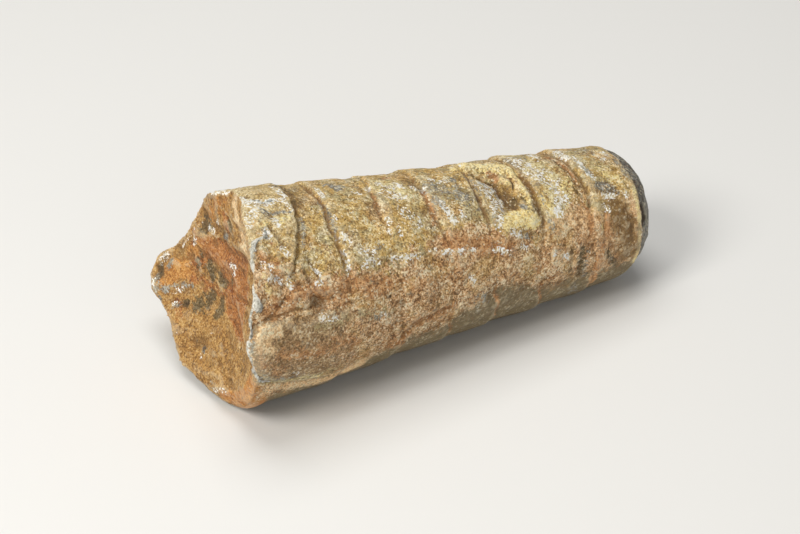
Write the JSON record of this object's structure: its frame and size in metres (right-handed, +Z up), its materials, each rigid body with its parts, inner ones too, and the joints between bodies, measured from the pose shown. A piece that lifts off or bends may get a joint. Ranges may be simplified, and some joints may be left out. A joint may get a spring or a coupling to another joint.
{
  "type": "orthoceras fossil",
  "caption": "Straight chambered shell fossil in rust-stained limestone, lying on its side, with a ragged wide end and a domed narrow end.",
  "frame": {"origin": "centre of the footprint's bounding box, at the height of the surface the fossil lies on", "axes": "+X along the long axis towards the domed narrow end, +Z up, -Y the side with the smooth plate and the dent"},
  "size_m": [0.0744, 0.035, 0.0296],
  "materials": {
    "stained_limestone": "dry, grainy limestone: ochre and grey-green above with white shell crust, pinkish brown on the flank, rust orange on the broken end"
  },
  "bodies": {
    "root": {"orthoceras_fossil": "stained_limestone"}
  },
  "joints": []
}
